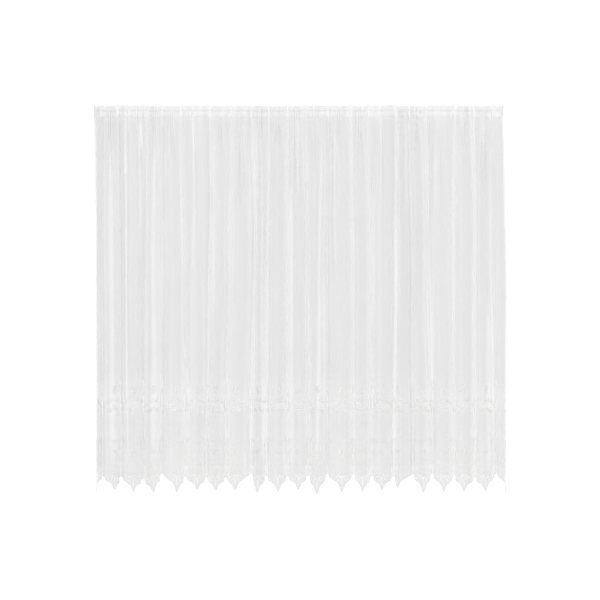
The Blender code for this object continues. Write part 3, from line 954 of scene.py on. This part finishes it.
# Stitches: two rows along the tape, one down each side hem, and the ridge knitted above the tape
stitches = {
    "length": 0.0030,
    "thickness": 0.00016,
    "turns": (0.08, 0.42, 0.58, 0.92),    # where in each stitch the thread comes to the front and goes behind
    "tapeDrops": (0.0204, 0.0416),
    "tapeEndsIn": 0.006,
    "hemIn": 0.0105,
    "hemTop": 0.046,
    "hemBottom": 1.405,
    "front": 0.00035,
    "behindTape": -0.0022,
    "behindHem": -0.0012,
    "ridgeDrop": 0.0108,
    "ridgeSize": 0.0006,
    "ridgeHeight": 0.00042,
    "ridgeLift": 0.0001,
}


def threadPiece(name, parts):
    piece = strandPiece(name, parts, threadFinish)
    return piece


def runningStitch(start, end, behind):
    # A thread between two places on the flat cloth, in front for half of each stitch and then behind
    start, end = np.array(start), np.array(end)
    count = int(np.linalg.norm(end - start) / stitches["length"])
    run = (np.arange(count)[:, None] + np.array(stitches["turns"])).ravel() / count
    lift = np.tile((stitches["front"], stitches["front"], behind, behind), count)
    path = start + (end - start) * run[:, None]
    return strands(path[None], stitches["thickness"], stitches["thickness"], sides=4, lift=lift)


def buildStitching():
    inside = stitches["tapeEndsIn"]
    rows = [
        runningStitch((inside, drop), (flatWidth - inside, drop), stitches["behindTape"])
        for drop in stitches["tapeDrops"]
    ]
    for cloth in (stitches["hemIn"], flatWidth - stitches["hemIn"]):
        top, bottom = (cloth, stitches["hemTop"]), (cloth, stitches["hemBottom"])
        rows.append(runningStitch(top, bottom, stitches["behindHem"]))
    ridge = pairs(clothSteps[1:-1], stitches["ridgeDrop"])[None]
    rows.append(strands(ridge, stitches["ridgeSize"], stitches["ridgeHeight"], lift=stitches["ridgeLift"]))
    return threadPiece("stitching", rows)


stitchPiece = buildStitching()
print("Stitched")


# The border, knitted thick in each repeat: flowers, a garland and a vine with their leaves, a trellis under
# arcs, and a fan in each scallop. Shifts are cloth distances from the scallops' tips.
border = {
    "relief": 0.00045,
    "sideGap": 0.003,             # left free at the side edges
    "blunt": 0.08,                # how far into the half turn a leaf's width begins and ends
}


def inCloth(paths):
    # Only what lies wholly inside the side edges
    low, high = paths[..., 0].min(axis=1), paths[..., 0].max(axis=1)
    return paths[(low > border["sideGap"]) & (high < flatWidth - border["sideGap"])]


def repeatPlaces(shift, drop):
    # One place in each repeat, counted from the scallops' tips
    return pairs(np.arange(repeatCount + 1) * repeatWidth + shift, drop)


def way(angle):
    return pairs(np.cos(angle), np.sin(angle))


def leaves(bases, angle, length, curl=0.0, points=7):
    # Leaf point = base + length (t along its angle + curl t squared across it)
    t = np.linspace(0.0, 1.0, points)[:, None]
    ahead, across = (
        np.broadcast_to(way(turned), bases.shape)[:, None, :] for turned in (angle, angle + np.pi / 2)
    )
    return inCloth(bases[:, None, :] + length * (t * ahead + curl * t**2 * across))


def raised(paths, halfWidth, height=border["relief"], sides=6):
    # Leaves and petals: as wide along them as the sine of half a turn
    blunt = border["blunt"]
    widths = halfWidth * np.sin(np.pi * np.linspace(blunt, 1 - blunt, paths.shape[1]))
    return strands(paths, widths, height, sides)


flowers = {
    "petals": table(              # turn is in degrees
        "shift drop number base length halfWidth height turn points sides",
        (0.075, 1.108, 8, 0.0065, 0.0150, 0.0047, 0.00045, 0.0, 9, 8),
        (0.075, 1.108, 8, 0.0035, 0.0090, 0.0026, 0.00090, 22.5, 7, 6),
        (0.000, 1.136, 5, 0.0030, 0.0095, 0.0036, 0.00045, 36.0, 9, 8),
        (0.000, 1.300, 6, 0.0020, 0.0090, 0.0030, 0.00045, 0.0, 7, 6),
        (0.075, 1.300, 4, 0.0020, 0.0110, 0.0030, 0.00045, 45.0, 7, 6),
    ),
    "buttons": table(
        "shift drop radius",
        (0.075, 1.108, 0.0034), (0.000, 1.136, 0.0026), (0.000, 1.300, 0.0020), (0.075, 1.300, 0.0020),
    ),
    "buttonHeight": 0.0008,
}


def petals(row):
    # Petal point = centre + direction times (base + length t), with directions evenly round the centre
    angle = 2 * np.pi * np.arange(row.number) / row.number + np.radians(row.turn)
    reach = row.base + row.length * np.linspace(0.0, 1.0, row.points)
    outward = pairs(np.sin(angle), np.cos(angle))[None, :, None, :] * reach[:, None]
    paths = repeatPlaces(row.shift, row.drop)[:, None, None, :] + outward
    return inCloth(paths.reshape(-1, row.points, 2))


def discs(centres, radius, height, points=7, sides=8, blunt=0.06):
    # A round button: a strand across it whose half width is the height of the circle
    x = -np.cos(np.pi * np.linspace(blunt, 1 - blunt, points))
    paths = inCloth(centres[:, None, :] + pairs(x, 0.0) * radius)
    return strands(paths, radius * np.sqrt(1 - x**2), height, sides)


def buildFlowers():
    parts = [raised(petals(row), row.halfWidth, row.height, row.sides) for row in flowers["petals"]]
    for row in flowers["buttons"]:
        parts.append(discs(repeatPlaces(row.shift, row.drop), row.radius, flowers["buttonHeight"]))
    return threadPiece("borderFlowers", parts)


foliage = {
    "stems": table(               # the garland and the vine. Turn is where their wave begins, in degrees.
        "drop swing halfWidth turn every leafPitch leafLength leafWidth",
        (1.124, 0.018, 0.0007, 180.0, 3, 0.0150, 0.0125, 0.0027),
        (1.347, 0.005, 0.0005, 0.0, 2, 0.0107, 0.0075, 0.0016),
    ),
    "stemTilt": 0.95,             # angle between a leaf and its stem
    "stemCurl": 0.25,
    "sprigs": table(              # one stands over each main flower, and a smaller one over each blossom
        "shift foot tip",
        (0.075, 1.087, 1.030), (0.000, 1.087, 1.0528),
    ),
    "sprigStem": 0.0005,
    "sprigPoints": 9,
    "sprigPairs": (0.10, 0.85, 5),    # of leaves, from this share of the stem to that, and how many
    "sprigLength": (0.0150, 0.0018),    # of the lowest pair, and how much shorter each next one is
    "sprigWidth": 0.0028,
    "sprigTilt": 0.85,
    "sprigCurl": 0.30,
    "sprays": table(              # large leaves: four under each blossom, and three under each main flower
        "shift drop length angles",
        (0.000, 1.142, 0.020, (0.45, np.pi - 0.45, 0.0, np.pi)),
        (0.075, 1.132, 0.016, (0.9, np.pi - 0.9, np.pi / 2)),
    ),
    "sprayBase": 0.006,
    "sprayWidth": 0.0034,
}


def stemWave(row, cloth):
    # Drop = middle + swing times the cosine of the way through the repeat
    return row.drop + row.swing * np.cos(2 * np.pi * cloth / repeatWidth + np.radians(row.turn))


def stemLeaves(row):
    # Leaves on both sides of a waving stem, leaning along it, those below it half a pitch further on
    cloth = np.arange(row.leafPitch / 2, flatWidth, row.leafPitch)
    turn = 2 * np.pi * cloth / repeatWidth + np.radians(row.turn)
    angle = np.arctan(-row.swing * 2 * np.pi / repeatWidth * np.sin(turn))
    tilt, curl = foliage["stemTilt"], foliage["stemCurl"]
    bases = pairs(cloth, stemWave(row, cloth))
    above = leaves(bases, angle - tilt, row.leafLength, curl)
    below = leaves(bases + np.array((row.leafPitch / 2, 0.0)), angle + tilt, row.leafLength, -curl)
    return np.concatenate([above, below])


def sprigParts(row):
    # An upright stem with pairs of leaves that shorten upwards
    run = np.linspace(0.0, 1.0, foliage["sprigPoints"])
    stem = repeatPlaces(row.shift, 0.0)[:, None, :] + pairs(0.0, row.foot + (row.tip - row.foot) * run)
    parts = [strands(inCloth(stem), foliage["sprigStem"], foliage["sprigStem"])]
    longest, shorter = foliage["sprigLength"]
    for k, run in enumerate(np.linspace(*foliage["sprigPairs"])):
        bases = repeatPlaces(row.shift, row.foot + (row.tip - row.foot) * run)
        for side in (-1, 1):
            angle, curl = side * foliage["sprigTilt"] - np.pi / 2, -side * foliage["sprigCurl"]
            parts.append(raised(leaves(bases, angle, longest - shorter * k, curl), foliage["sprigWidth"]))
    return parts


def buildLeaves():
    parts = []
    for row in foliage["stems"]:
        cloth = clothSteps[2:-2:row.every]
        parts.append(strands(pairs(cloth, stemWave(row, cloth))[None], row.halfWidth, row.halfWidth))
        parts.append(raised(stemLeaves(row), row.leafWidth))
    for row in foliage["sprigs"]:
        parts.extend(sprigParts(row))
    for row in foliage["sprays"]:
        for angle in row.angles:
            bases = repeatPlaces(row.shift, row.drop) + way(angle) * foliage["sprayBase"]
            parts.append(raised(leaves(bases, angle, row.length), foliage["sprayWidth"]))
    return threadPiece("borderLeaves", parts)


trellis = {
    "pitch": 0.015,
    "slant": 0.066,               # how far a trellis thread runs sideways on its way down
    "points": 13,
    "endsIn": 0.004,
    "halfWidth": 0.0004,
    "bottom": 1.336,
    "lineHalfWidth": 0.0005,
    "arcDrop": 1.264,
    "arcRise": 0.012,
    "arcShifts": (0.0, 0.0055),
    "arcSize": (0.0007, 0.0006),
    "dotRows": (1.186, 1.211, 1.236),
    "dotPitch": 0.030,
    "dotRadius": 0.0016,
    "dotHeight": 0.0006,
    "ringDrop": 1.372,
    "ringPitch": 0.01875,
    "ringRadius": 0.0036,
    "ringPoints": 15,
    "ringSize": (0.0006, 0.0005),
}


def arcDrop(cloth):
    # Arcs that hang between the scallops' tips: a rise times the size of half a sine wave
    return trellis["arcDrop"] - trellis["arcRise"] * np.abs(np.sin(np.pi * cloth / repeatWidth))


def buildTrellis():
    # Slanting threads both ways between the arcs and a line, turned back at the side edges, with the arcs,
    # scattered dots and a row of rings
    run = np.linspace(0.0, 1.0, trellis["points"])
    feet = np.arange(0.0, flatWidth + trellis["pitch"] / 2, trellis["pitch"])
    bottom, parts = trellis["bottom"], []
    for side in (-1, 1):
        cloth = folded(feet[:, None] + side * trellis["slant"] * run)
        cloth = np.clip(cloth, trellis["endsIn"], flatWidth - trellis["endsIn"])
        paths = pairs(cloth, arcDrop(cloth) + (bottom - arcDrop(cloth)) * run)
        parts.append(strands(paths, trellis["halfWidth"], trellis["halfWidth"], sides=4))
    cloth = clothSteps[2:-2:2]
    for shift in trellis["arcShifts"]:
        parts.append(strands(pairs(cloth, arcDrop(cloth) - shift)[None], *trellis["arcSize"]))
    parts.append(strands(pairs(cloth, bottom)[None], trellis["lineHalfWidth"], trellis["lineHalfWidth"]))
    for k, drop in enumerate(trellis["dotRows"]):
        dots = np.arange(trellis["dotPitch"] * (1 + k % 2) / 2, flatWidth, trellis["dotPitch"])
        places = pairs(dots, drop)
        parts.append(discs(places, trellis["dotRadius"], trellis["dotHeight"], points=5, sides=6))
    rings = np.arange(trellis["ringPitch"] / 2, flatWidth, trellis["ringPitch"])
    circle = trellis["ringRadius"] * way(np.linspace(0.0, 2 * np.pi, trellis["ringPoints"]))
    paths = inCloth(pairs(rings, trellis["ringDrop"])[:, None, :] + circle)
    parts.append(strands(paths, *trellis["ringSize"], sides=4))
    return threadPiece("borderTrellis", parts)


hem = {
    "endsIn": 0.0008,             # from each side edge
    "points": 2561,
    "cords": table("inside halfWidth halfHeight", (0.0006, 0.0011, 0.0009), (0.0075, 0.0006, 0.0006)),
    "barPitch": 0.005,
    "barInside": (0.0072, 0.0040, 0.0010),    # a bar's points, from the hem's edge
    "barHalfWidth": 0.0004,
    "fanDrop": 1.384,
    "fanBase": 0.003,
    "fanWidth": 0.0036,
    "fan": table("angle length", (90, 0.044), (60, 0.030), (120, 0.030), (30, 0.026), (150, 0.026)),
}


def buildHemCord():
    # The cord along the edge, a finer one inside it, short bars between them, and a fan of leaves in each
    # scallop
    cloth = np.linspace(hem["endsIn"], flatWidth - hem["endsIn"], hem["points"])
    parts = [
        strands(pairs(cloth, knitHem(cloth) - row.inside)[None], row.halfWidth, row.halfHeight)
        for row in hem["cords"]
    ]
    feet = np.arange(hem["barPitch"], flatWidth, hem["barPitch"])[:, None]
    bars = pairs(feet, knitHem(feet) - np.array(hem["barInside"]))
    parts.append(strands(bars, hem["barHalfWidth"], hem["barHalfWidth"], sides=4))
    for row in hem["fan"]:
        angle = np.radians(row.angle)
        bases = repeatPlaces(0.0, hem["fanDrop"]) + way(angle) * hem["fanBase"]
        parts.append(raised(leaves(bases, angle, row.length, points=9), hem["fanWidth"], sides=8))
    return threadPiece("hemCord", parts)


borderPieces = [buildFlowers(), buildLeaves(), buildTrellis(), buildHemCord()]
print("Border knitted in")
